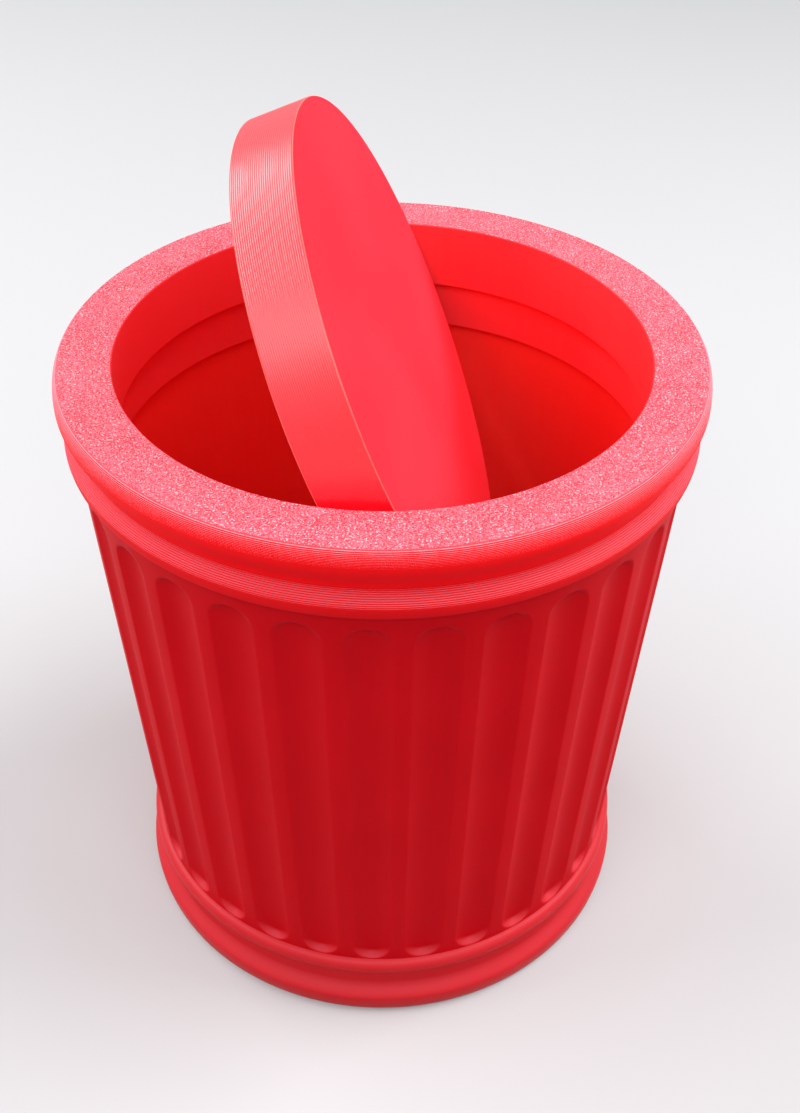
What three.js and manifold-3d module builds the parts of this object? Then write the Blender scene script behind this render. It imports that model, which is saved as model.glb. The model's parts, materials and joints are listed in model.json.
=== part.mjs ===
// Small desk bin: a fluted barrel, a beaded ring plugged into its mouth and a thick round lid that
// swings on two pins across the ring.
// Millimetres, +Z up, origin at the centre of the underside. The lid's axis runs along Y.

import * as THREE from 'three';
import { mergeVertices } from 'three/addons/utils/BufferGeometryUtils.js';
import Module from 'manifold-3d';

const wasm = await Module();
wasm.setup();

// Barrel shell
const barrelTopRadius = 57.4;
const coneFootRadius = 50.5;
const coneHeight = 99.5;
const wallThickness = 3.6;
const floorThickness = 3.0;
const floorFillet = 4.0;

// Mouldings round the barrel's foot, from the floor up
const footEdgeInset = 1.5;
const footBeadHeight = 4.4;
const footBeadProud = 2.4;
const footCoveRise = 3.6;
const footCoveProud = 0.2;
const neckCoveRise = 3.4;
const neckBeadHeight = 3.8;
const neckBeadProud = 1.5;

// Flutes cut into the barrel's cone, their width taken half way up
const fluteCount = 30;
const fluteWidth = 8.2;
const fluteDepth = 1.45;
const fluteCorner = 4.0;
const fluteTopMargin = 2.9;
const fluteFootMargin = 0.35;

// Top ring, from its flat top down
const upperBeadProud = 2.6;
const flatEdgeInset = 1.3;
const upperBeadDrop = 3.4;
const ringCoveInset = 2.75;
const ringCoveDrop = 5.5;
const lowerBeadInset = 0.8;
const lowerBeadDrop = 3.1;
const ringSeatDrop = 3.1;
const collarDepth = 13.4;

// Spigot of the ring inside the barrel
const spigotLength = 8.9;
const spigotWall = 2.25;
const spigotClearance = 0.35;
const spigotEndGap = 0.6;
const spigotLeadIn = 0.8;
const collarStep = 2.0;
const seamGap = 0.2;

// Lid
const lidThickness = 11.4;
const lidFaceAbovePivot = 4.3;
const lidSweepClearance = 0.65;
const lidEdgeBreak = 0.35;
const pivotDepth = 2.6;
const lidOpenAngle = THREE.MathUtils.degToRad(67.2);

// Pivot pins
const pinRadius = 1.5;
const pinClearance = 0.08;
const pinHoldInLid = 6.8;
const pinSocketDepth = 3.0;
const pinEndGap = 0.35;
const pinTipBreak = 0.4;

// Fineness of the round forms
const facetsPerFlute = 3;
const pinFacets = 20;
const beadSteps = 4;
const coveSteps = 4;
const smallSteps = 2;
const cornerSteps = 3;
const fluteWidthShares = [1, 0.7, 0.3];
const fluteEndShare = 0.25;
const cutOverrun = 1.0;

// Levels and radii that follow from the sizes above
const footCoveLevel = footBeadHeight + footCoveRise;
const neckBeadFoot = footCoveLevel + neckCoveRise;
const coneFootLevel = neckBeadFoot + neckBeadHeight;
const barrelHeight = coneFootLevel + coneHeight;
const seatLevel = barrelHeight + seamGap;
const lowerBeadLevel = seatLevel + ringSeatDrop;
const ringCoveLevel = lowerBeadLevel + lowerBeadDrop;
const upperBeadLevel = ringCoveLevel + ringCoveDrop;
const topLevel = upperBeadLevel + upperBeadDrop;
const spigotFootLevel = seatLevel - spigotLength;
const registerFootLevel = spigotFootLevel - spigotEndGap;
const registerRadius = barrelTopRadius - wallThickness;
const spigotRadius = registerRadius - spigotClearance;
const spigotBore = spigotRadius - spigotWall;
const mouthRadius = spigotBore - collarStep;
const upperBeadRadius = barrelTopRadius + upperBeadProud;
const coneSlope = (barrelTopRadius - coneFootRadius) / coneHeight;
const coneSlant = Math.hypot(1, coneSlope);
const roundFacets = fluteCount * facetsPerFlute;
const pivotLevel = topLevel - pivotDepth;
const lidBelowPivot = lidThickness - lidFaceAbovePivot;
const lidSweepRadius = mouthRadius - lidSweepClearance;
const lidRadius = Math.sqrt(lidSweepRadius ** 2 - Math.max(lidBelowPivot, lidFaceAbovePivot) ** 2);
const holeRadius = (pinRadius + pinClearance) / Math.cos(Math.PI / pinFacets);

const redPlastic = { color: 0xc8141c, roughness: 0.42, metalness: 0 };

// Outside radius of the barrel's cone at a height above the floor.
function coneRadius(level) {
  return coneFootRadius + coneSlope * (level - coneFootLevel);
}

// Inside radius of the barrel's tapered wall at a height above the floor.
function innerRadius(level) {
  return coneRadius(level) - wallThickness;
}

// Points of a smooth run between two extremes of a moulding, level-headed at both ends.
function sweptRun(from, to, steps) {
  const points = [];
  for (let i = 0; i <= steps; i += 1) {
    const share = i / steps;
    const eased = (1 - Math.cos(Math.PI * share)) / 2;
    points.push(new THREE.Vector2(
      THREE.MathUtils.lerp(from.x, to.x, eased),
      THREE.MathUtils.lerp(from.y, to.y, share),
    ));
  }
  return points;
}

// Points of a quarter of an ellipse from its crown, where it runs upright, to its flat end.
function quarterRun(crown, end, steps) {
  const points = [];
  for (let i = 0; i <= steps; i += 1) {
    const angle = (Math.PI / 2) * (i / steps);
    points.push(new THREE.Vector2(
      end.x + (crown.x - end.x) * Math.cos(angle),
      crown.y + (end.y - crown.y) * Math.sin(angle),
    ));
  }
  return points;
}

// Drops points that repeat the one before, so that runs can share their ends.
function joined(...runs) {
  const points = [];
  for (const point of runs.flat()) {
    const last = points.at(-1);
    if (!last || !last.equals(point)) {
      points.push(point);
    }
  }
  return points;
}

// Turns a profile of (radius, height) points round the Z axis.
function turned(profile, facets) {
  const halfFacet = Math.PI / facets;
  const geometry = new THREE.LatheGeometry(profile, facets, halfFacet);
  geometry.rotateX(Math.PI / 2);
  return geometry;
}

// Closed solid of a geometry whose seams and poles are merged.
function solidOf(geometry) {
  const bare = geometry.clone();
  bare.deleteAttribute('normal');
  bare.deleteAttribute('uv');
  const merged = mergeVertices(bare);
  const index = merged.index.array;
  const triangles = [];
  for (let i = 0; i < index.length; i += 3) {
    const [a, b, c] = [index[i], index[i + 1], index[i + 2]];
    if (a !== b && b !== c && c !== a) {
      triangles.push(a, b, c);
    }
  }
  return new wasm.Manifold(new wasm.Mesh({
    numProp: 3,
    vertProperties: Float32Array.from(merged.attributes.position.array),
    triVerts: Uint32Array.from(triangles),
  }));
}

// Geometry of a solid, ready for a mesh.
function geometryOf(solid) {
  const mesh = solid.getMesh();
  const geometry = new THREE.BufferGeometry();
  geometry.setAttribute('position', new THREE.BufferAttribute(mesh.vertProperties, 3));
  geometry.setIndex(new THREE.BufferAttribute(mesh.triVerts, 1));
  geometry.computeVertexNormals();
  return geometry;
}

// Named piece of the bin.
function piece(name, geometry) {
  const mesh = new THREE.Mesh(geometry, new THREE.MeshStandardMaterial(redPlastic));
  mesh.name = name;
  return mesh;
}

// Barrel before its flutes: foot mouldings, cone, rim, register for the ring, tapered inside and floor.
function barrelShell() {
  const footBead = new THREE.Vector2(coneFootRadius + footBeadProud, footBeadHeight);
  const footEdge = new THREE.Vector2(footBead.x - footEdgeInset, 0);
  const footCove = new THREE.Vector2(coneFootRadius + footCoveProud, footCoveLevel);
  const neckFoot = new THREE.Vector2(coneFootRadius + footCoveProud, neckBeadFoot);
  const neckCrown = new THREE.Vector2(coneFootRadius + neckBeadProud, neckBeadFoot + neckBeadHeight / 2);
  const coneFoot = new THREE.Vector2(coneFootRadius, coneFootLevel);
  const filletTop = floorThickness + floorFillet;
  const wallFoot = new THREE.Vector2(innerRadius(filletTop), filletTop);
  const floorEdge = new THREE.Vector2(wallFoot.x - floorFillet, floorThickness);
  const profile = joined(
    [new THREE.Vector2(0, 0)],
    quarterRun(footBead, footEdge, beadSteps).reverse(),
    sweptRun(footBead, footCove, coveSteps),
    quarterRun(neckCrown, neckFoot, smallSteps).reverse(),
    quarterRun(neckCrown, coneFoot, smallSteps),
    [
      new THREE.Vector2(barrelTopRadius, barrelHeight),
      new THREE.Vector2(registerRadius, barrelHeight),
      new THREE.Vector2(registerRadius, registerFootLevel),
      new THREE.Vector2(innerRadius(registerFootLevel), registerFootLevel),
    ],
    quarterRun(wallFoot, floorEdge, smallSteps),
    [new THREE.Vector2(0, floorThickness)],
  );
  return solidOf(turned(profile, roundFacets));
}

// Outline of a slot with round corners, as points round its middle.
function slotOutline(halfWidth, halfLength, corner) {
  const points = [];
  const corners = [[1, 1, 0], [-1, 1, 1], [-1, -1, 2], [1, -1, 3]];
  for (const [sideX, sideY, quarter] of corners) {
    for (let i = 0; i <= cornerSteps; i += 1) {
      const angle = (Math.PI / 2) * (quarter + i / cornerSteps);
      points.push(new THREE.Vector2(
        sideX * (halfWidth - corner) + corner * Math.cos(angle),
        sideY * (halfLength - corner) + corner * Math.sin(angle),
      ));
    }
  }
  return points;
}

// Solid through a stack of outlines with as many points each, closed flat at both ends.
function lofted(outlines, depths) {
  const count = outlines[0].length;
  const positions = outlines.flatMap((outline, k) => outline.flatMap((p) => [p.x, p.y, depths[k]]));
  const triangles = [];
  for (let k = 0; k + 1 < outlines.length; k += 1) {
    for (let i = 0; i < count; i += 1) {
      const j = (i + 1) % count;
      const [a, b, c, d] = [k * count + i, k * count + j, (k + 1) * count + j, (k + 1) * count + i];
      triangles.push(a, c, b, a, d, c);
    }
  }
  const last = (outlines.length - 1) * count;
  for (let i = 1; i + 1 < count; i += 1) {
    triangles.push(0, i, i + 1);
    triangles.push(last, last + i + 1, last + i);
  }
  const geometry = new THREE.BufferGeometry();
  geometry.setAttribute('position', new THREE.BufferAttribute(Float32Array.from(positions), 3));
  geometry.setIndex(triangles);
  return geometry;
}

// Outline along the cone, narrowed towards the foot and widened towards the head as the cone is.
function tapered(outline, middle) {
  return outline.map((point) => {
    const radius = coneRadius(middle + point.y / coneSlant);
    return new THREE.Vector2((point.x * radius) / coneRadius(middle), point.y);
  });
}

// Cutter of one flute, lying in its own frame: X across, Y along, Z out of the barrel.
function fluteCutter() {
  const footLevel = coneFootLevel + fluteFootMargin;
  const headLevel = barrelHeight - fluteTopMargin;
  const middle = (headLevel + footLevel) / 2;
  const halfLength = ((headLevel - footLevel) * coneSlant) / 2;
  const halfWidth = fluteWidth / 2;
  const outlines = [tapered(slotOutline(halfWidth, halfLength, fluteCorner), middle)];
  const depths = [cutOverrun];
  for (const share of fluteWidthShares) {
    const endInset = halfWidth * (1 - share) * fluteEndShare;
    const outline = slotOutline(halfWidth * share, halfLength - endInset, fluteCorner * share);
    outlines.push(tapered(outline, middle));
    depths.push(-fluteDepth * (1 - share ** 2));
  }
  const geometry = lofted(outlines, depths);
  const edgeRadius = Math.sqrt(coneRadius(middle) ** 2 - halfWidth ** 2);
  const out = new THREE.Vector3(0, -1, -coneSlope).normalize();
  const along = new THREE.Vector3(0, -coneSlope, 1).normalize();
  const across = new THREE.Vector3().crossVectors(along, out);
  const frame = new THREE.Matrix4().makeBasis(across, along, out);
  frame.setPosition(0, -edgeRadius, middle);
  return geometry.applyMatrix4(frame);
}

// Barrel with its flutes cut in.
function barrel() {
  const cutter = fluteCutter();
  let body = barrelShell();
  for (let i = 0; i < fluteCount; i += 1) {
    const turn = (2 * Math.PI * i) / fluteCount;
    body = body.subtract(solidOf(cutter.clone().rotateZ(turn)));
  }
  return piece('barrel', geometryOf(body));
}

// Round bar along -Y from one radius to another, with both ends bevelled.
function crossBar(radius, from, to, endBreak) {
  const profile = [
    new THREE.Vector2(0, from),
    new THREE.Vector2(radius - endBreak, from),
    new THREE.Vector2(radius, from + endBreak),
    new THREE.Vector2(radius, to - endBreak),
    new THREE.Vector2(radius - endBreak, to),
    new THREE.Vector2(0, to),
  ];
  return turned(profile, pinFacets).rotateX(Math.PI / 2);
}

// Hole for a pivot pin, along -Y from one radius to another at a height.
function pinHole(from, to, level) {
  const profile = [
    new THREE.Vector2(0, from),
    new THREE.Vector2(holeRadius, from),
    new THREE.Vector2(holeRadius, to),
    new THREE.Vector2(0, to),
  ];
  return turned(profile, pinFacets).rotateX(Math.PI / 2).translate(0, 0, level);
}

// Solid with a pin hole cut in at the front and at the rear.
function drilled(solid, from, to, level) {
  const front = solidOf(pinHole(from, to, level));
  const rear = solidOf(pinHole(from, to, level).rotateZ(Math.PI));
  return solid.subtract(front).subtract(rear);
}

// Ring with its flat top, two beads, bore and spigot, and a blind socket for each pin.
function topRing() {
  const flatEdge = new THREE.Vector2(upperBeadRadius - flatEdgeInset, topLevel);
  const upperBead = new THREE.Vector2(upperBeadRadius, upperBeadLevel);
  const cove = new THREE.Vector2(upperBeadRadius - ringCoveInset, ringCoveLevel);
  const lowerBead = new THREE.Vector2(upperBeadRadius - lowerBeadInset, lowerBeadLevel);
  const seatEdge = new THREE.Vector2(barrelTopRadius, seatLevel);
  const collarFoot = topLevel - collarDepth;
  const profile = joined(
    [
      new THREE.Vector2(mouthRadius, topLevel),
      new THREE.Vector2(mouthRadius, collarFoot),
      new THREE.Vector2(spigotBore, collarFoot),
      new THREE.Vector2(spigotBore, spigotFootLevel),
      new THREE.Vector2(spigotRadius - spigotLeadIn, spigotFootLevel),
      new THREE.Vector2(spigotRadius, spigotFootLevel + spigotLeadIn),
      new THREE.Vector2(spigotRadius, seatLevel),
    ],
    quarterRun(lowerBead, seatEdge, beadSteps).reverse(),
    sweptRun(lowerBead, cove, coveSteps),
    sweptRun(cove, upperBead, coveSteps),
    quarterRun(upperBead, flatEdge, beadSteps),
    [new THREE.Vector2(mouthRadius, topLevel)],
  );
  const blank = solidOf(turned(profile, roundFacets));
  const socketStart = mouthRadius - cutOverrun;
  const body = drilled(blank, socketStart, mouthRadius + pinSocketDepth, pivotLevel);
  return piece('top_ring', geometryOf(body));
}

// Lid disc about the pivot axis, with a pin hole in its rim at the front and at the rear.
function lid() {
  const profile = [
    new THREE.Vector2(0, -lidBelowPivot),
    new THREE.Vector2(lidRadius - lidEdgeBreak, -lidBelowPivot),
    new THREE.Vector2(lidRadius, lidEdgeBreak - lidBelowPivot),
    new THREE.Vector2(lidRadius, lidFaceAbovePivot - lidEdgeBreak),
    new THREE.Vector2(lidRadius - lidEdgeBreak, lidFaceAbovePivot),
    new THREE.Vector2(0, lidFaceAbovePivot),
  ];
  const blank = solidOf(turned(profile, roundFacets));
  const body = drilled(blank, lidRadius - pinHoldInLid - pinEndGap, lidRadius + cutOverrun, 0);
  return piece('lid', geometryOf(body));
}

// Pivot pin held in the lid's rim with its tip in the ring's socket.
function pivotPin(name, turn) {
  const inner = lidRadius - pinHoldInLid;
  const tip = mouthRadius + pinSocketDepth - pinEndGap;
  return piece(name, crossBar(pinRadius, inner, tip, pinTipBreak).rotateZ(turn));
}

// Lid and its pins, swung open about the pivot axis.
function swingingLid() {
  const group = new THREE.Group();
  group.add(lid());
  group.add(pivotPin('pivot_pin_front', 0));
  group.add(pivotPin('pivot_pin_rear', Math.PI));
  group.position.z = pivotLevel;
  group.rotation.y = lidOpenAngle;
  return group;
}

const bin = new THREE.Group();
bin.add(barrel());
bin.add(topRing());
bin.add(swingingLid());

export default bin;
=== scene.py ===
"""Looks of a small printed desk bin: fluted barrel, beaded ring and swinging disc lid.

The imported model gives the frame. The barrel, the ring and the lid are built again here as fine
turned meshes inside their own solids, with the layer lines and grain that printing leaves, and each
rides on the body of its solid. The two pivot pins stay as they are packed and are only dressed.
"""

from __future__ import annotations

import json
import logging
import math
from dataclasses import dataclass
from enum import Enum
from typing import Callable, NamedTuple, Sequence, Union

import bpy
from mathutils import Matrix, Vector


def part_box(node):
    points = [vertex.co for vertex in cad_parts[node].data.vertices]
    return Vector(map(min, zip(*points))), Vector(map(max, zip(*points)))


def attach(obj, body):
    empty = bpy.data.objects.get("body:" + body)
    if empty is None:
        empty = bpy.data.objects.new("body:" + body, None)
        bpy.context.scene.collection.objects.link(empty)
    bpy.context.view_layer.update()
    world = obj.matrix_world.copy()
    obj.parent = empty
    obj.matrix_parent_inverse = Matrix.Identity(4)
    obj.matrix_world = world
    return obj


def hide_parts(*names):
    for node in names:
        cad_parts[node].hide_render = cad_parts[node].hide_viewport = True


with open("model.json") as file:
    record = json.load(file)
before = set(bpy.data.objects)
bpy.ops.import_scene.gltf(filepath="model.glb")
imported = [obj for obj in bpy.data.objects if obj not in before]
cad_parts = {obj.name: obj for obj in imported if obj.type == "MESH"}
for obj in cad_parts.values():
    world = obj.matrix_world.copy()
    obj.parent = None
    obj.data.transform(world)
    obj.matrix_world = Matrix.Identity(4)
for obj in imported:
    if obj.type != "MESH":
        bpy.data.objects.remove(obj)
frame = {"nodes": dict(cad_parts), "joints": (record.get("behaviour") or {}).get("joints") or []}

LOG = logging.getLogger("bin")
MM = 0.001
LAYER_HEIGHT = 0.28 * MM
SAME_POINT = 0.001 * MM
FLUTE_COUNT = 30
QUARTER_TURN = 0.25

# How far red, green and blue light spread inside the plastic, as shares of its depth.
RED_REACH = (1.0, 0.15, 0.12)

# A Mix node has its colour sockets at these numbers. Their names repeat for each kind of data.
MIX_SHARE, MIX_FIRST, MIX_SECOND, MIX_RESULT = 0, 6, 7, 2

Triple = tuple[float, float, float]
Colour = Triple
Stop = tuple[float, float]
Operand = Union["Flow", float]


class Body(Enum):
    """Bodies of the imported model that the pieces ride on."""

    BARREL = "barrel"
    RING = "top_ring"
    LID = "lid"


class Slot(Enum):
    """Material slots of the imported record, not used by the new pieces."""

    BARREL = "barrel"
    RING = "top_ring"
    LID = "lid"


class Corner(NamedTuple):
    """Point of a turned profile: its radius and its level, in metres."""

    radius: float
    level: float


def lerp(start: float, end: float, share: float) -> float:
    """Returns the number that lies at a share of the way from start to end."""
    return start + (end - start) * share


def from_srgb(red: int, green: int, blue: int) -> Colour:
    """Turns a screen colour into the linear one that a shader takes, by the sRGB curve.

    Args:
        red: Red from 0 to 255.
        green: Green from 0 to 255.
        blue: Blue from 0 to 255.

    Returns:
        The linear colour.
    """

    def linear(level: int) -> float:
        """Returns one channel without its screen curve."""
        share = level / 255
        if share <= 0.04045:
            return share / 12.92
        return ((share + 0.055) / 1.055) ** 2.4

    return linear(red), linear(green), linear(blue)


def swept_run(start: Corner, end: Corner, steps: int) -> list[Corner]:
    """Smooth run between two extremes of a moulding, upright at both ends.

    Args:
        start: First extreme.
        end: Second extreme.
        steps: Number of stretches.

    Returns:
        The run's corners, both ends included.
    """
    shares = [i / steps for i in range(steps + 1)]
    return [
        Corner(
            lerp(start.radius, end.radius, (1 - math.cos(math.pi * share)) / 2),
            lerp(start.level, end.level, share),
        )
        for share in shares
    ]


def quarter_run(crown: Corner, end: Corner, steps: int) -> list[Corner]:
    """Quarter of an ellipse from its crown, where it runs upright, to its flat end.

    Args:
        crown: Widest point.
        end: Point where the curve lies level.
        steps: Number of stretches.

    Returns:
        The quarter's corners, both ends included.
    """
    angles = [math.pi / 2 * i / steps for i in range(steps + 1)]
    return [
        Corner(
            end.radius + (crown.radius - end.radius) * math.cos(angle),
            crown.level + (end.level - crown.level) * math.sin(angle),
        )
        for angle in angles
    ]


def joined(*runs: Sequence[Corner]) -> list[Corner]:
    """Joins runs end to end and drops corners that repeat the one before.

    Args:
        runs: The runs in order.

    Returns:
        One list of corners.
    """
    corners: list[Corner] = []
    for corner in (corner for run in runs for corner in run):
        if not corners or math.dist(corners[-1], corner) > SAME_POINT:
            corners.append(corner)
    return corners


def radius_at(run: Sequence[Corner], level: float) -> float:
    """Radius of a rising run at a level.

    Args:
        run: Corners from below upwards.
        level: The level.

    Returns:
        The radius, held at the run's own ends.
    """
    for before, after in zip(run, run[1:]):
        if before.level <= level <= after.level and after.level > before.level:
            share = (level - before.level) / (after.level - before.level)
            return lerp(before.radius, after.radius, share)
    return run[-1].radius


def turn(angle: float, radius: float, level: float) -> Vector:
    """Returns the point at an angle round Z, counted from the front at -Y towards +X."""
    return Vector((radius * math.sin(angle), -radius * math.cos(angle), level))


@dataclass
class TurnedMesh:
    """Closed mesh made of rings of points round the Z axis.

    A ring with one point is a pole. A mesh whose rings start and end at poles is closed by them,
    and any other one is closed from its last ring to its first. finish_of gives the number of the
    finish that a row of faces has, counted from the first ring.
    """

    name: str
    rings: list[list[Vector]]
    finish_of: Callable[[int], int]
    sharp_angle: float = math.radians(35)

    def _faces(self) -> tuple[list[tuple[int, ...]], list[int]]:
        """Faces between neighbouring rings, and the row that each belongs to.

        Returns:
            The faces as indices of points, and a row number for each face.
        """
        starts = [0]
        for ring in self.rings:
            starts.append(starts[-1] + len(ring))
        is_open = len(self.rings[0]) == 1
        rows = len(self.rings) - 1 if is_open else len(self.rings)
        faces: list[tuple[int, ...]] = []
        row_of: list[int] = []
        for row in range(rows):
            above = (row + 1) % len(self.rings)
            low, high = len(self.rings[row]), len(self.rings[above])
            for i in range(max(low, high)):
                j = i + 1
                corners = (
                    starts[row] + i % low,
                    starts[row] + j % low,
                    starts[above] + j % high,
                    starts[above] + i % high,
                )
                faces.append(tuple(dict.fromkeys(corners)))
                row_of.append(row)
        return faces, row_of

    def build(self, materials: Sequence[bpy.types.Material]) -> bpy.types.Object:
        """Makes the object and dresses it.

        Args:
            materials: Materials in the order that finish_of numbers them.

        Returns:
            The finished object.
        """
        faces, row_of = self._faces()
        mesh = bpy.data.meshes.new(self.name)
        mesh.from_pydata([point for ring in self.rings for point in ring], [], faces)
        for material in materials:
            mesh.materials.append(material)
        mesh.polygons.foreach_set("material_index", [self.finish_of(row) for row in row_of])
        mesh.shade_smooth()
        mesh.set_sharp_from_angle(angle=self.sharp_angle)
        mesh.update()
        piece = bpy.data.objects.new(self.name, mesh)
        bpy.context.scene.collection.objects.link(piece)
        LOG.info("%s: %d points", self.name, len(mesh.vertices))
        return piece


@dataclass(frozen=True)
class Flow:
    """A socket's output on its way through a material, with arithmetic for plain numbers."""

    bench: NodeBench
    socket: bpy.types.NodeSocket

    def _math(self, operation: str, *operands: Operand) -> Flow:
        """Adds a Math node.

        Args:
            operation: Blender's name of the operation.
            operands: Numbers or flows, in the node's order.

        Returns:
            The node's result.
        """
        return self.bench.flow("Math", {"operation": operation}, dict(enumerate(operands)))

    def __add__(self, other: Operand) -> Flow:
        """Returns the sum."""
        return self._math("ADD", self, other)

    def __radd__(self, other: float) -> Flow:
        """Returns the sum."""
        return self._math("ADD", other, self)

    def __sub__(self, other: Operand) -> Flow:
        """Returns the difference."""
        return self._math("SUBTRACT", self, other)

    def __rsub__(self, other: float) -> Flow:
        """Returns the difference from a plain number."""
        return self._math("SUBTRACT", other, self)

    def __mul__(self, other: Operand) -> Flow:
        """Returns the product."""
        return self._math("MULTIPLY", self, other)

    def __rmul__(self, other: float) -> Flow:
        """Returns the product."""
        return self._math("MULTIPLY", other, self)

    def wave(self, period: float) -> Flow:
        """Returns a sine wave from 0 to 1 that repeats each time the number grows by a period."""
        return 0.5 + 0.5 * self._math("SINE", self * (2 * math.pi / period))

    def clamped(self) -> Flow:
        """Returns the number held between 0 and 1."""
        return self._math("MINIMUM", self._math("MAXIMUM", self, 0.0), 1.0)


class NodeBench:
    """A node tree on the bench, with the means to fill it."""

    def __init__(self, tree: bpy.types.NodeTree) -> None:
        """Clears the tree.

        Args:
            tree: The tree to fill.
        """
        self.tree = tree
        self.tree.nodes.clear()

    def node(
        self,
        kind: str,
        settings: dict[str, object] | None = None,
        inputs: dict[str | int, object] | None = None,
    ) -> bpy.types.Node:
        """Adds a node.

        Args:
            kind: The node's type, without the words ShaderNode in front.
            settings: Values of the node's own properties, set first. stops fills a colour ramp.
            inputs: Values or flows for sockets by name or number.

        Returns:
            The node.
        """
        node = self.tree.nodes.new("ShaderNode" + kind)
        for key, value in (settings or {}).items():
            if key == "stops":
                self._set_stops(node.color_ramp, value)
            else:
                setattr(node, key, value)
        for key, value in (inputs or {}).items():
            self._feed(node.inputs[key], value)
        return node

    def flow(
        self,
        kind: str,
        settings: dict[str, object] | None = None,
        inputs: dict[str | int, object] | None = None,
        output: str | int = 0,
    ) -> Flow:
        """Adds a node and hands on one of its outputs.

        Args:
            kind: The node's type, without the words ShaderNode in front.
            settings: Values of the node's own properties.
            inputs: Values or flows for sockets by name or number.
            output: Name or number of the output.

        Returns:
            The output.
        """
        return Flow(self, self.node(kind, settings, inputs).outputs[output])

    def _set_stops(self, ramp: bpy.types.ColorRamp, stops: Sequence[Stop]) -> None:
        """Fills a ramp with grey stops.

        Args:
            ramp: The ramp, with its two first stops.
            stops: Place and lightness of each stop, in order.
        """
        while len(ramp.elements) < len(stops):
            ramp.elements.new(1.0)
        for element, (place, level) in zip(ramp.elements, stops):
            element.position = place
            element.color = (level, level, level, 1.0)

    def _feed(self, socket: bpy.types.NodeSocket, value: object) -> None:
        """Links a flow to a socket, or sets the socket to a plain value.

        Args:
            socket: Socket to feed.
            value: A flow, a number, a colour or a vector.
        """
        if isinstance(value, Flow):
            self.tree.links.new(value.socket, socket)
        elif socket.type == "RGBA":
            socket.default_value = (*value, 1.0)
        else:
            socket.default_value = value

    def blend(self, share: Flow, first: Union[Flow, Colour], second: Union[Flow, Colour]) -> Flow:
        """Mixes two colours.

        Args:
            share: Share of the second colour.
            first: Colour at 0.
            second: Colour at 1.

        Returns:
            The mixed colour.
        """
        inputs = {MIX_SHARE: share, MIX_FIRST: first, MIX_SECOND: second}
        return self.flow("Mix", {"data_type": "RGBA"}, inputs, MIX_RESULT)

    def seen_directly(self) -> Flow:
        """Returns 1 where the camera, a mirror or clear glass shows the surface, else 0."""
        rays = ("Is Camera Ray", "Is Glossy Ray", "Is Transmission Ray")
        camera, glossy, clear = (self.flow("LightPath", output=ray) for ray in rays)
        return (camera + glossy + clear).clamped()


class MaterialBench(NodeBench):
    """A new material on the bench."""

    def __init__(self, name: str) -> None:
        """Makes an empty material.

        Args:
            name: The material's name.
        """
        self.material = bpy.data.materials.new(name)
        self.material.use_nodes = True
        super().__init__(self.material.node_tree)

    def place(self) -> Flow:
        """Returns the point in the piece's own frame, in metres."""
        return self.flow("TexCoord", output="Object")

    def facing(self) -> Flow:
        """Returns the way that the surface faces, in the piece's own frame."""
        return self.flow("TexCoord", output="Normal")

    def stretched(self, vector: Flow, factors: Triple) -> Flow:
        """Scales a vector along its axes.

        Args:
            vector: The vector.
            factors: One factor for each axis.

        Returns:
            The scaled vector.
        """
        return self.flow("VectorMath", {"operation": "MULTIPLY"}, {0: vector, 1: factors})

    def axis(self, vector: Flow, name: str) -> Flow:
        """Returns one component of a vector: X, Y or Z."""
        return self.flow("SeparateXYZ", inputs={"Vector": vector}, output=name)

    def noise(self, vector: Flow, size: float, detail: float = 2.0, roughness: float = 0.5) -> Flow:
        """Soft random field.

        Args:
            vector: Where it is read, in metres.
            size: Rough size of its blots, in metres.
            detail: Number of finer octaves.
            roughness: Weight of the finer octaves.

        Returns:
            A number about 0.5.
        """
        inputs = {"Vector": vector, "Scale": 1 / size, "Detail": detail, "Roughness": roughness}
        return self.flow("TexNoise", inputs=inputs, output="Fac")

    def ramp(self, value: Flow, *stops: Stop) -> Flow:
        """Reads a number through a curve of straight stretches.

        Args:
            value: The number.
            stops: Place and result of each stop, in order.

        Returns:
            The result as a grey.
        """
        return self.flow("ValToRGB", {"stops": stops}, {"Fac": value}, "Color")

    def rise(self, value: Flow, edges: tuple[float, float]) -> Flow:
        """Returns 0 below the first edge, 1 above the second, and a straight rise between them."""
        return self.ramp(value, (edges[0], 0.0), (edges[1], 1.0))

    def bump(
        self, height: Flow, depth: float, strength: float = 1.0, under: Flow | None = None
    ) -> Flow:
        """Turns a height field into a bent normal.

        Args:
            height: The field, from 0 to 1.
            depth: How far 1 stands above 0, in metres.
            strength: Share of the effect.
            under: Bent normal to build on.

        Returns:
            The normal.
        """
        inputs: dict[str, object] = {"Height": height, "Distance": depth, "Strength": strength}
        if under is not None:
            inputs["Normal"] = under
        return self.flow("Bump", inputs=inputs, output="Normal")

    def finish(self, **sockets: object) -> bpy.types.Material:
        """Adds the shader and the output.

        Args:
            sockets: Values or flows for the shader's sockets, with _ in place of spaces.

        Returns:
            The finished material.
        """
        named = {key.replace("_", " "): value for key, value in sockets.items()}
        self.node("OutputMaterial", inputs={"Surface": self.flow("BsdfPrincipled", inputs=named)})
        return self.material


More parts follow.
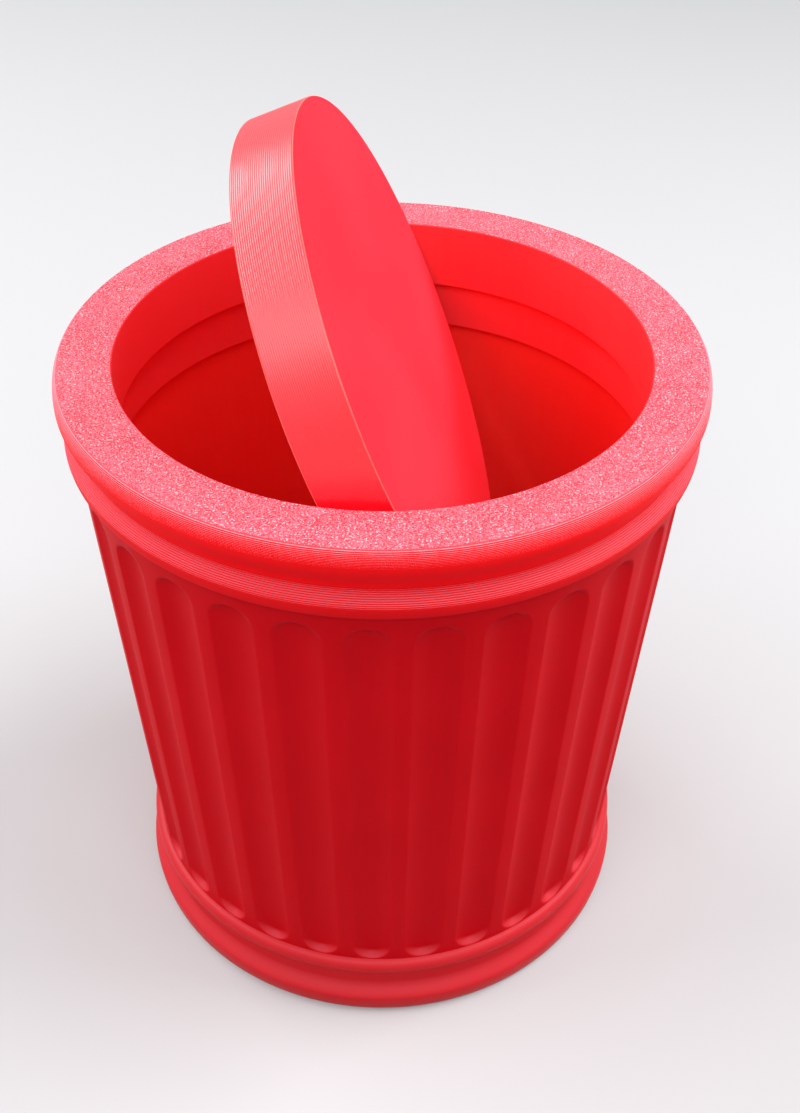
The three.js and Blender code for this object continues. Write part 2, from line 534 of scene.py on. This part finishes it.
@dataclass(frozen=True)
class PrintedPlastic:
    """Satin red plastic laid down in thin layers, with broad clouds and faint upright streaks.

    With a sheen colour it turns towards that where it faces up: painted sheen of light from above.
    """

    name: str
    colour: Colour
    cloud_colour: Colour
    # Colour of the painted sheen on surfaces that face up.
    painted_sheen_colour: Colour | None = None
    roughness: float = 0.5
    roughness_swing: float = 0.08
    gloss: float = 0.3
    upright_sheen: float = 0.7
    depth_share: float = 0.35
    depth: float = 4 * MM
    cloud_size: float = 22 * MM
    cloud_share: float = 0.65
    cloud_edges: tuple[float, float] = (0.36, 0.64)
    # Ramp from upward facing to the share of painted sheen.
    painted_sheen_stops: tuple[Stop, ...] = ((0.02, 0.0), (0.3, 0.4), (1.0, 1.0))
    streak_size: float = 1.1 * MM
    streak_length_share: float = 0.03
    layer_depth: float = 0.012 * MM
    layer_strength: float = 0.35
    grain_size: float = 0.5 * MM
    grain_depth: float = 0.010 * MM

    def material(self) -> bpy.types.Material:
        """Returns the material for a piece whose layers lie level in its own frame."""
        bench = MaterialBench(self.name)
        place = bench.place()
        clouds = bench.noise(place, self.cloud_size, detail=3.0)
        drawn_out = bench.stretched(place, (1.0, 1.0, self.streak_length_share))
        streaks = bench.noise(drawn_out, self.streak_size)
        patches = clouds * self.cloud_share + streaks * (1 - self.cloud_share)
        colour = bench.blend(bench.rise(patches, self.cloud_edges), self.colour, self.cloud_colour)
        # Painted sheen: surfaces that face up turn paler, standing in for light from above.
        if self.painted_sheen_colour is not None:
            upward = bench.ramp(bench.axis(bench.facing(), "Z"), *self.painted_sheen_stops)
            colour = bench.blend(upward, colour, self.painted_sheen_colour)
        layers = bench.axis(place, "Z").wave(LAYER_HEIGHT)
        grain = bench.noise(place, self.grain_size)
        normal = bench.bump(layers, self.layer_depth, self.layer_strength)
        normal = bench.bump(grain, self.grain_depth, under=normal)
        return bench.finish(
            Base_Color=colour,
            Roughness=self.roughness + (streaks - 0.5) * self.roughness_swing,
            Normal=normal,
            Specular_IOR_Level=self.gloss,
            Anisotropic=self.upright_sheen,
            Anisotropic_Rotation=QUARTER_TURN,
            Subsurface_Weight=self.depth_share,
            Subsurface_Radius=RED_REACH,
            Subsurface_Scale=self.depth,
        )


@dataclass(frozen=True)
class PlateGrain:
    """Face printed against a textured plate: fine grain, with painted pink sheen and painted glints.
    """

    name: str
    colour: Colour
    pale_colour: Colour
    painted_glint_colour: Colour
    grain_size: float = 0.3 * MM
    grain_raggedness: float = 0.6
    grain_depth: float = 0.07 * MM
    grain_share: float = 0.88
    pale_edges: tuple[float, float] = (0.41, 0.59)
    glint_size: float = 0.32 * MM
    glint_edges: tuple[float, float] = (0.60, 0.70)
    glint_smoothness: float = 0.2
    cloud_size: float = 6 * MM
    roughness: float = 0.5
    gloss: float = 0.5

    def material(self) -> bpy.types.Material:
        """Returns the material of the grained face."""
        bench = MaterialBench(self.name)
        place = bench.place()
        grain = bench.noise(place, self.grain_size, roughness=self.grain_raggedness)
        clouds = bench.noise(place, self.cloud_size, detail=3.0)
        patches = grain * self.grain_share + clouds * (1 - self.grain_share)
        # Painted glints: sparse pale spots that stand in for highlights on the grain.
        painted_glints = bench.rise(bench.noise(place, self.glint_size, detail=1.0), self.glint_edges)
        # Both grain colours carry a painted pink sheen over the grain's own light and dark specks.
        colour = bench.blend(bench.rise(patches, self.pale_edges), self.colour, self.pale_colour)
        return bench.finish(
            Base_Color=bench.blend(painted_glints, colour, self.painted_glint_colour),
            Roughness=self.roughness - painted_glints * self.glint_smoothness,
            Normal=bench.bump(grain, self.grain_depth),
            Specular_IOR_Level=self.gloss,
        )


@dataclass(frozen=True)
class SmoothFace:
    """Smooth satin face with soft wide clouds and the faint slanting sweeps of printing."""

    name: str
    colour: Colour
    cloud_colour: Colour
    roughness: float = 0.45
    roughness_swing: float = 0.12
    gloss: float = 0.35
    depth_share: float = 0.35
    depth: float = 4 * MM
    cloud_size: float = 40 * MM
    cloud_edges: tuple[float, float] = (0.38, 0.62)
    sweep_size: float = 0.42 * MM
    sweep_depth: float = 0.004 * MM
    sweep_strength: float = 0.5

    def material(self) -> bpy.types.Material:
        """Returns the material of the smooth face."""
        bench = MaterialBench(self.name)
        place = bench.place()
        clouds = bench.noise(place, self.cloud_size)
        across = bench.axis(place, "X") + bench.axis(place, "Y")
        sweeps = across.wave(math.sqrt(2) * self.sweep_size)
        share = bench.rise(clouds, self.cloud_edges)
        return bench.finish(
            Base_Color=bench.blend(share, self.colour, self.cloud_colour),
            Roughness=self.roughness + (clouds - 0.5) * self.roughness_swing,
            Normal=bench.bump(sweeps, self.sweep_depth, self.sweep_strength),
            Specular_IOR_Level=self.gloss,
            Subsurface_Weight=self.depth_share,
            Subsurface_Radius=RED_REACH,
            Subsurface_Scale=self.depth,
        )


@dataclass(frozen=True)
class Palette:
    """Finishes of the bin's plastic: one red in lit and shaded copies, with painted sheen and glow.
    """

    # Painted shade: darker red than the ring for the shade under the ring; its sheen colour paints
    # highlights on the flutes' lower ends.
    barrel: PrintedPlastic = PrintedPlastic(
        "barrel_plastic_painted_shade",
        from_srgb(197, 0, 15),
        from_srgb(203, 2, 19),
        from_srgb(206, 62, 72),
        gloss=0.06,
    )
    # Painted shade like the barrel's; its sheen colour paints highlights on the tops of the foot's
    # beads.
    foot: PrintedPlastic = PrintedPlastic(
        "foot_plastic_painted_shade",
        from_srgb(198, 6, 20),
        from_srgb(204, 10, 24),
        from_srgb(198, 46, 56),
        roughness=0.42,
        gloss=0.16,
        upright_sheen=0.0,
    )
    # Painted glow: the inside is a brighter red than the outside, for light shining in and through
    # the wall.
    inside: PrintedPlastic = PrintedPlastic(
        "inside_plastic_painted_glow", from_srgb(255, 46, 42), from_srgb(255, 54, 48), gloss=0.1, depth_share=0.0
    )
    # Painted shade: the lower bead is darker and less pale than the upper one, for the shade under
    # the upper bead.
    lower_bead: PrintedPlastic = PrintedPlastic(
        "lower_bead_plastic_painted_shade",
        from_srgb(224, 3, 14),
        from_srgb(230, 6, 18),
        from_srgb(228, 100, 114),
        gloss=0.1,
        layer_strength=0.0,
    )
    # Lit copy of the ring's red; its pale sheen colour paints the highlight on the upper bead's
    # treads.
    upper_bead: PrintedPlastic = PrintedPlastic(
        "upper_bead_plastic_painted_sheen",
        from_srgb(246, 4, 14),
        from_srgb(250, 8, 18),
        from_srgb(250, 138, 152),
        gloss=0.1,
        layer_strength=0.0,
    )
    # Painted glow: the bore is a brighter red than the ring's outside, for light shining through the
    # plastic.
    bore: PrintedPlastic = PrintedPlastic(
        "bore_plastic_painted_glow", from_srgb(255, 50, 58), from_srgb(255, 58, 64), depth_share=0.0
    )
    # Pink tones are painted sheen over the grain's own specks, and the glint colour paints glints.
    grain: PlateGrain = PlateGrain(
        "ring_grain_painted_sheen",
        from_srgb(188, 46, 62),
        from_srgb(222, 108, 124),
        from_srgb(242, 186, 194),
        gloss=0.25,
    )
    rim: PrintedPlastic = PrintedPlastic(
        "lid_rim_plastic",
        from_srgb(248, 6, 32),
        from_srgb(252, 12, 38),
        roughness=0.33,
        gloss=1.0,
        upright_sheen=0.0,
    )
    # Painted highlight: a pale red on the edge breaks, for the light line along the face's edge.
    painted_edge_highlight: PrintedPlastic = PrintedPlastic(
        "lid_edge_plastic",
        from_srgb(252, 92, 84),
        from_srgb(254, 104, 96),
        upright_sheen=0.0,
        layer_strength=0.0,
    )
    # Painted sheen: the face's red is pinker than the rim's and has no gloss of its own.
    face: SmoothFace = SmoothFace(
        "lid_face_plastic_painted_sheen", from_srgb(246, 48, 62), from_srgb(250, 54, 68), gloss=0.0
    )
    pins: PrintedPlastic = PrintedPlastic(
        "pin_plastic", from_srgb(246, 10, 30), from_srgb(250, 14, 36)
    )


@dataclass
class Barrel:
    """Fluted tapered barrel with its moulded foot, its register for the ring and its floor."""

    top_radius: float
    top_level: float
    cone_foot_radius: float = 50.5 * MM
    wall: float = 3.6 * MM
    floor: float = 3.0 * MM
    floor_fillet: float = 4.0 * MM
    foot_edge_inset: float = 1.5 * MM
    foot_bead_level: float = 4.4 * MM
    foot_bead_proud: float = 2.4 * MM
    foot_cove_rise: float = 3.6 * MM
    cove_proud: float = 0.2 * MM
    neck_rise: float = 3.4 * MM
    neck_height: float = 3.8 * MM
    neck_proud: float = 1.5 * MM
    register_depth: float = 9.3 * MM
    flute_width: float = 8.2 * MM
    flute_depth: float = 1.4 * MM
    flute_end_share: float = 0.25
    flute_top_margin: float = 2.9 * MM
    flute_foot_margin: float = 0.35 * MM
    flute_edge_round: float = 0.12 * MM
    flute_across_shares: tuple[float, ...] = (
        0.0, 0.14, 0.28, 0.4, 0.51, 0.61, 0.7, 0.78, 0.85, 0.9, 0.94, 0.97, 0.99, 1.01, 1.04, 1.1
    )
    fine_step: float = 0.16 * MM
    straight_rows: int = 12
    foot_steps: int = 12
    cove_steps: int = 14
    neck_steps: int = 6
    fillet_steps: int = 8
    sharp_angle: float = math.radians(60)

    @classmethod
    def from_frame(cls) -> Barrel:
        """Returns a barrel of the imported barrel's size."""
        low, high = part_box("barrel")
        return cls(top_radius=min(high.x, high.y), top_level=high.z)

    @property
    def neck_foot(self) -> float:
        """Level where the thin bead above the foot starts."""
        return self.foot_bead_level + self.foot_cove_rise + self.neck_rise

    @property
    def cone_foot_level(self) -> float:
        """Level where the cone starts."""
        return self.neck_foot + self.neck_height

    @property
    def slope(self) -> float:
        """How much the cone's radius grows for each metre of height."""
        return (self.top_radius - self.cone_foot_radius) / (self.top_level - self.cone_foot_level)

    def cone_radius(self, level: float) -> float:
        """Returns the cone's outside radius at a level."""
        return self.cone_foot_radius + self.slope * (level - self.cone_foot_level)

    @property
    def flute_middle(self) -> float:
        """Level half way up the flutes."""
        foot = self.cone_foot_level + self.flute_foot_margin
        head = self.top_level - self.flute_top_margin
        return (foot + head) / 2

    def _half_flute(self, level: float) -> float:
        """Returns the angle from a flute's middle to its side at a level."""
        held = min(max(level, self.cone_foot_level), self.top_level)
        width = self.flute_width * self.cone_radius(held) / self.cone_radius(self.flute_middle)
        return width / 2 / self.cone_radius(held)

    def _columns(self, level: float) -> list[float]:
        """Angles of the upright lines at a level, closer together at the flutes' edges.

        Args:
            level: Height of the ring of points.

        Returns:
            Angles from the front, going round once.
        """
        pitch = 2 * math.pi / FLUTE_COUNT
        right = [share * self._half_flute(level) for share in self.flute_across_shares]
        offsets = [-angle for angle in reversed(right[1:])] + right + [pitch / 2]
        return [pitch * flute + offset for flute in range(FLUTE_COUNT) for offset in offsets]

    def _depth(self, angle: float, level: float) -> float:
        """How deep the flutes cut in at a place on the cone.

        Args:
            angle: Angle from the front.
            level: Height above the floor.

        Returns:
            Depth below the cone's surface.
        """
        pitch = 2 * math.pi / FLUTE_COUNT
        half_width = self.flute_width / 2
        across = abs(angle - pitch * round(angle / pitch)) / self._half_flute(level) * half_width
        half_length = self.flute_middle - self.cone_foot_level - self.flute_foot_margin
        run = half_width * (1 - self.flute_end_share)
        past = abs(level - self.flute_middle) - half_length + half_width - run
        spread = half_width**2 - run**2
        root = math.sqrt((past * run) ** 2 + spread * (across**2 + past**2))
        share = (past * run + root) / spread
        if past + run * share <= 0:
            share = across / half_width
        depth = self.flute_depth * (1 - share**2)
        return (depth + math.hypot(depth, self.flute_edge_round)) / 2

    def _cone_rows(self) -> list[Corner]:
        """Levels of the cone, closer together at both ends of the flutes.

        Returns:
            Corners from the cone's foot to the barrel's rim.
        """
        reach = self.flute_width
        low = self.cone_foot_level
        high = self.top_level - self.flute_top_margin + self.fine_step
        steps = round(reach / self.fine_step)
        levels = [low + reach * i / steps for i in range(steps)]
        start, end = low + reach, high - reach
        levels += [lerp(start, end, i / self.straight_rows) for i in range(self.straight_rows)]
        levels += [end + reach * i / steps for i in range(steps + 1)]
        levels.append(self.top_level)
        return [Corner(self.cone_radius(level), level) for level in levels]

    def build(self, palette: Palette) -> None:
        """Makes the barrel.

        Args:
            palette: Finishes of the bin's plastic.
        """
        proud = self.cone_foot_radius
        foot_bead = Corner(proud + self.foot_bead_proud, self.foot_bead_level)
        foot_edge = Corner(foot_bead.radius - self.foot_edge_inset, 0.0)
        foot_cove = Corner(proud + self.cove_proud, self.foot_bead_level + self.foot_cove_rise)
        neck_foot = Corner(proud + self.cove_proud, self.neck_foot)
        neck_crown = Corner(proud + self.neck_proud, self.neck_foot + self.neck_height / 2)
        cone_foot = Corner(self.cone_foot_radius, self.cone_foot_level)
        outer = joined(
            quarter_run(foot_bead, foot_edge, self.foot_steps)[::-1],
            swept_run(foot_bead, foot_cove, self.cove_steps),
            quarter_run(neck_crown, neck_foot, self.neck_steps)[::-1],
            quarter_run(neck_crown, cone_foot, self.neck_steps),
        )
        cone = self._cone_rows()
        register = self.top_radius - self.wall
        ledge = self.top_level - self.register_depth
        fillet_top = self.floor + self.floor_fillet
        wall_foot = Corner(self.cone_radius(fillet_top) - self.wall, fillet_top)
        floor_edge = Corner(wall_foot.radius - self.floor_fillet, self.floor)
        inner = joined(
            [
                Corner(register, self.top_level),
                Corner(register, ledge),
                Corner(self.cone_radius(ledge) - self.wall, ledge),
            ],
            quarter_run(wall_foot, floor_edge, self.fillet_steps),
        )
        rings: list[list[Vector]] = [[Vector((0, 0, 0))]]
        for corner in outer:
            rings.append([turn(angle, *corner) for angle in self._columns(corner.level)])
        for corner in cone[1:]:
            ring: list[Vector] = []
            for angle in self._columns(corner.level):
                radius = corner.radius - self._depth(angle, corner.level)
                ring.append(turn(angle, radius, corner.level))
            rings.append(ring)
        for corner in inner:
            rings.append([turn(angle, *corner) for angle in self._columns(corner.level)])
        rings.append([Vector((0, 0, self.floor))])
        first_inside = len(outer) + len(cone)
        finishes = (palette.barrel, palette.foot, palette.inside)

        def finish_of(row: int) -> int:
            """Returns the number of the finish that a row of faces has."""
            if row < len(outer):
                return finishes.index(palette.foot)
            return finishes.index(palette.inside if row > first_inside else palette.barrel)

        mesh = TurnedMesh("fluted_barrel", rings, finish_of, self.sharp_angle)
        piece = mesh.build([finish.material() for finish in finishes])
        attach(piece, Body.BARREL.value)
        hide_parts("barrel")


@dataclass
class TopRing:
    """Thick ring with a grained flat top, two beads, a plain bore and a spigot."""

    outer_radius: float
    top_level: float
    spigot_foot: float
    bore_radius: float = 49.2 * MM
    flat_edge_inset: float = 1.3 * MM
    upper_bead_drop: float = 3.4 * MM
    cove_inset: float = 2.75 * MM
    cove_drop: float = 5.9 * MM
    lower_bead_inset: float = 0.8 * MM
    lower_bead_drop: float = 3.0 * MM
    seat_drop: float = 2.8 * MM
    seat_radius: float = 57.4 * MM
    collar_depth: float = 13.4 * MM
    spigot_radius: float = 53.45 * MM
    spigot_bore: float = 51.2 * MM
    lead_in: float = 0.8 * MM
    edge_break: float = 0.18 * MM
    step_share: float = 0.85
    bead_steps: int = 40
    crown_steps: int = 60
    columns: int = 960

    @classmethod
    def from_frame(cls) -> TopRing:
        """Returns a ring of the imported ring's size."""
        low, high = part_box("top_ring")
        return cls(outer_radius=min(high.x, high.y), top_level=high.z, spigot_foot=low.z)

    def _outside(self) -> list[Corner]:
        """Smooth outside from the seat on the barrel to the flat top.

        Returns:
            Corners of the outside, from below upwards.
        """
        upper = Corner(self.outer_radius, self.top_level - self.upper_bead_drop)
        cove = Corner(self.outer_radius - self.cove_inset, upper.level - self.cove_drop)
        lower = Corner(self.outer_radius - self.lower_bead_inset, cove.level - self.lower_bead_drop)
        seat = Corner(self.seat_radius, lower.level - self.seat_drop)
        flat_edge = Corner(self.outer_radius - self.flat_edge_inset, self.top_level)
        return joined(
            quarter_run(lower, seat, self.bead_steps)[::-1],
            swept_run(lower, cove, self.bead_steps),
            swept_run(cove, upper, self.bead_steps),
            quarter_run(upper, flat_edge, self.crown_steps),
        )

    def _layered(self, run: Sequence[Corner]) -> list[Corner]:
        """Cuts a smooth rising run into printed layers, each with a steep side and a level tread.

        Args:
            run: Corners from below upwards.

        Returns:
            Corners of the stair of layers.
        """
        start, end = run[0].level, run[-1].level
        count = round((end - start) / LAYER_HEIGHT)
        stair: list[Corner] = []
        for layer in range(count):
            low = lerp(start, end, layer / count)
            high = lerp(start, end, (layer + 1) / count)
            middle = radius_at(run, (low + high) / 2)
            stair.append(Corner(lerp(radius_at(run, low), middle, self.step_share), low))
            stair.append(Corner(lerp(radius_at(run, high), middle, self.step_share), high))
        return stair

    def build(self, palette: Palette) -> None:
        """Makes the ring.

        Args:
            palette: Finishes of the bin's plastic.
        """
        stair = self._layered(self._outside())
        flat_row = len(stair) - 1
        collar_foot = self.top_level - self.collar_depth
        cove_level = self.top_level - self.upper_bead_drop - self.cove_drop
        seat = stair[0].level
        profile = stair + [
            Corner(self.bore_radius + self.edge_break, self.top_level),
            Corner(self.bore_radius, self.top_level - self.edge_break),
            Corner(self.bore_radius, collar_foot),
            Corner(self.spigot_bore, collar_foot),
            Corner(self.spigot_bore, self.spigot_foot),
            Corner(self.spigot_radius - self.lead_in, self.spigot_foot),
            Corner(self.spigot_radius, self.spigot_foot + self.lead_in),
            Corner(self.spigot_radius, seat),
        ]
        angles = [2 * math.pi * i / self.columns for i in range(self.columns)]
        rings = [[turn(angle, *corner) for angle in angles] for corner in profile]
        finishes = (palette.lower_bead, palette.upper_bead, palette.grain, palette.bore)

        def finish_of(row: int) -> int:
            """Returns the number of the finish that a row of faces has."""
            if row > flat_row:
                return finishes.index(palette.bore)
            if row == flat_row:
                return finishes.index(palette.grain)
            # Rows above the cove take the lit upper bead finish, rows below it the copy with painted
            # shade.
            is_upper = profile[row].level > cove_level
            return finishes.index(palette.upper_bead if is_upper else palette.lower_bead)

        mesh = TurnedMesh("beaded_ring", rings, finish_of)
        piece = mesh.build([finish.material() for finish in finishes])
        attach(piece, Body.RING.value)
        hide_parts("top_ring")


@dataclass
class Lid:
    """Thick disc on the pivot axis, built in its own frame with the axis along Y.

    rim_line_shape gives places within one layer of the rim and how far each is sunk, as shares.
    """

    pivot: Vector
    facing: Vector
    radius: float
    face_above: float
    back_below: float
    edge_break: float = 0.16 * MM
    fit: float = 0.15 * MM
    rim_line_pitch: float = 0.38 * MM
    rim_line_depth: float = 0.035 * MM
    rim_line_shape: tuple[Stop, ...] = ((0.0, 1.0), (0.22, 0.25), (0.5, 0.0), (0.78, 0.25))
    columns: int = 480

    @classmethod
    def from_frame(cls) -> Lid:
        """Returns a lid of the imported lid's size, place and tilt."""
        joint = next(joint for joint in frame["joints"] if joint["child"] == Body.LID.value)
        mesh = frame["nodes"]["lid"].data
        largest = max(mesh.polygons, key=lambda polygon: polygon.area * (polygon.normal.z > 0))
        facing = largest.normal.copy()
        pivot = Vector(joint["pos_m"])
        heights = [(vertex.co - pivot).dot(facing) for vertex in mesh.vertices]
        low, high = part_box("lid")
        return cls(
            pivot=pivot,
            facing=facing,
            radius=min(high.y, -low.y) - cls.fit,
            face_above=max(heights),
            back_below=-min(heights),
        )

    def _rim(self) -> list[Corner]:
        """Layered rim from the back face to the front face.

        Returns:
            Corners with a fine groove between neighbouring layers.
        """
        low, high = self.edge_break - self.back_below, self.face_above - self.edge_break
        count = round((high - low) / self.rim_line_pitch)
        height = (high - low) / count
        corners: list[Corner] = []
        for layer in range(count):
            start = lerp(low, high, layer / count)
            for share, sunk in self.rim_line_shape:
                radius = self.radius - sunk * self.rim_line_depth
                corners.append(Corner(radius, start + share * height))
        corners.append(Corner(self.radius - self.rim_line_depth, high))
        return corners

    def build(self, palette: Palette) -> None:
        """Makes the lid.

        Args:
            palette: Finishes of the bin's plastic.
        """
        flat_radius = self.radius - self.edge_break
        back, face = Corner(flat_radius, -self.back_below), Corner(flat_radius, self.face_above)
        profile = [back, *self._rim(), face]
        angles = [2 * math.pi * i / self.columns for i in range(self.columns)]
        rings = [[Vector((0, 0, -self.back_below))]]
        rings += [[turn(angle, *corner) for angle in angles] for corner in profile]
        rings += [[Vector((0, 0, self.face_above))]]
        last = len(rings) - 2
        finishes = (palette.rim, palette.face, palette.painted_edge_highlight)

        def finish_of(row: int) -> int:
            """Returns the number of the finish of a row, counted from whichever face is nearer."""
            # The rows next to each face take the pale painted edge highlight.
            by_depth = {0: palette.face, 1: palette.painted_edge_highlight}
            return finishes.index(by_depth.get(min(row, last - row), palette.rim))

        mesh = TurnedMesh("disc_lid", rings, finish_of)
        piece = mesh.build([finish.material() for finish in finishes])
        across = Vector((0, 1, 0)).cross(self.facing)
        turned = Matrix((across, Vector((0, 1, 0)), self.facing)).transposed().to_4x4()
        piece.matrix_world = Matrix.Translation(self.pivot) @ turned
        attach(piece, Body.LID.value)
        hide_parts("lid")


@dataclass
class PivotPins:
    """The two short pins that carry the lid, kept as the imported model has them."""

    nodes: tuple[str, ...] = ("pivot_pin_front", "pivot_pin_rear")

    def dress(self, palette: Palette) -> None:
        """Gives both pins their plastic.

        Args:
            palette: Finishes of the bin's plastic.
        """
        material = palette.pins.material()
        for name in self.nodes:
            mesh = frame["nodes"][name].data
            mesh.materials.clear()
            mesh.materials.append(material)
            LOG.info("%s: dressed", name)


@dataclass(frozen=True)
class SoftLight:
    """Large soft lamp aimed at the bin, with its angles in degrees and its sizes in metres."""

    name: str
    azimuth: float
    elevation: float
    distance: float
    width: float
    height: float
    power: float

    def build(self, aim: Vector) -> None:
        """Makes the lamp.

        Args:
            aim: Point that it shines at.
        """
        lamp = bpy.data.lights.new(self.name, "AREA")
        lamp.shape = "RECTANGLE"
        lamp.size, lamp.size_y = self.width, self.height
        lamp.energy = self.power
        light = bpy.data.objects.new(self.name, lamp)
        azimuth, elevation = math.radians(self.azimuth), math.radians(self.elevation)
        reach, rise = self.distance * math.cos(elevation), self.distance * math.sin(elevation)
        away = turn(azimuth, reach, rise)
        light.location = aim + away
        light.rotation_mode = "QUATERNION"
        light.rotation_quaternion = away.to_track_quat("Z", "Y")
        bpy.context.scene.collection.objects.link(light)
        LOG.info("%s: lamp", self.name)


@dataclass
class Studio:
    """Plain pale floor, soft lamps and the camera of the photograph."""

    top_level: float
    aim_share: float = 0.7
    floor_size: float = 6.0
    floor_colour: Colour = (0.52, 0.52, 0.53)
    floor_bounce_colour: Colour = (0.25, 0.25, 0.25)
    floor_cloud_size: float = 0.35
    floor_cloud_gain: float = 1.03
    floor_roughness: float = 0.85
    floor_gloss: float = 0.15
    room_colour: Colour = (0.98, 0.99, 1.0)
    backdrop_strength: float = 0.8
    ambient_strength: float = 0.45
    lamps: tuple[SoftLight, ...] = (
        SoftLight(
            "lamp_overhead", azimuth=85, elevation=68, distance=0.9, width=0.5, height=0.3, power=3.0
        ),
        SoftLight(
            "lamp_left", azimuth=-104, elevation=37, distance=0.9, width=1.1, height=0.2, power=7.4
        ),
        SoftLight(
            "lamp_right", azimuth=98, elevation=36, distance=0.9, width=0.6, height=0.25, power=5.0
        ),
        SoftLight(
            "lamp_front", azimuth=-2, elevation=46, distance=1.1, width=1.5, height=0.4, power=7.4
        ),
    )
    photo_height_pixels: float = 1113
    focal_pixels: float = 1500
    sensor: float = 36.0
    nearest_seen: float = 10 * MM
    camera_reach: float = 236.86 * MM
    camera_rise: float = 143.71 * MM
    camera_azimuth: float = math.radians(2.44)
    yaw: float = math.radians(0.85)
    pitch: float = math.radians(39.19)
    roll: float = math.radians(0.65)

    def _floor(self) -> None:
        """Lays the floor that the bin stands on."""
        half = self.floor_size / 2
        mesh = bpy.data.meshes.new("floor")
        corners = [(-half, -half, 0), (half, -half, 0), (half, half, 0), (-half, half, 0)]
        mesh.from_pydata(corners, [], [(0, 1, 2, 3)])
        bench = MaterialBench("pale_floor")
        clouds = bench.noise(bench.place(), self.floor_cloud_size)
        paler = tuple(channel * self.floor_cloud_gain for channel in self.floor_colour)
        pale = bench.blend(clouds, self.floor_colour, paler)
        material = bench.finish(
            Base_Color=bench.blend(bench.seen_directly(), self.floor_bounce_colour, pale),
            Roughness=self.floor_roughness,
            Specular_IOR_Level=self.floor_gloss,
        )
        mesh.materials.append(material)
        floor = bpy.data.objects.new("floor", mesh)
        bpy.context.scene.collection.objects.link(floor)

    def _world(self) -> None:
        """Makes the room's even light, with a pale backdrop for the camera and for reflections."""
        world = bpy.data.worlds.new("room")
        bpy.context.scene.world = world
        world.use_nodes = True
        bench = NodeBench(world.node_tree)
        extra = self.backdrop_strength - self.ambient_strength
        strength = self.ambient_strength + bench.seen_directly() * extra
        room = bench.flow("Background", inputs={"Color": self.room_colour, "Strength": strength})
        bench.node("OutputWorld", inputs={"Surface": room})

    def _camera(self) -> None:
        """Sets the camera where the photograph was taken from."""
        data = bpy.data.cameras.new("camera")
        data.sensor_width = self.sensor
        data.lens = self.focal_pixels * self.sensor / self.photo_height_pixels
        data.clip_start = self.nearest_seen
        camera = bpy.data.objects.new("camera", data)
        yaw = self.yaw - self.camera_azimuth
        level_ahead = Vector((math.sin(yaw), math.cos(yaw), 0))
        ahead = level_ahead * math.cos(self.pitch) - Vector((0, 0, math.sin(self.pitch)))
        right = Vector((math.cos(yaw), -math.sin(yaw), 0))
        up = right.cross(ahead)
        across = right * math.cos(self.roll) + up * math.sin(self.roll)
        over = up * math.cos(self.roll) - right * math.sin(self.roll)
        turned = Matrix((across, over, -ahead)).transposed().to_4x4()
        place = turn(self.camera_azimuth, self.camera_reach, self.top_level + self.camera_rise)
        camera.matrix_world = Matrix.Translation(place) @ turned
        bpy.context.scene.collection.objects.link(camera)
        bpy.context.scene.camera = camera

    def build(self) -> None:
        """Sets up the floor, the light, the camera and the plain view of colours."""
        self._floor()
        self._world()
        aim = Vector((0, 0, self.top_level * self.aim_share))
        for lamp in self.lamps:
            lamp.build(aim)
        self._camera()
        bpy.context.scene.view_settings.view_transform = "Standard"
        LOG.info("studio: floor, %d lamps and camera", len(self.lamps))


def main() -> None:
    """Builds the bin piece by piece, then the studio round it."""
    logging.basicConfig(level=logging.INFO, format="%(name)s: %(message)s")
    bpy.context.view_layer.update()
    palette = Palette()
    Barrel.from_frame().build(palette)
    ring = TopRing.from_frame()
    ring.build(palette)
    Lid.from_frame().build(palette)
    PivotPins().dress(palette)
    Studio(top_level=ring.top_level).build()


if __name__ == "__main__":
    main()
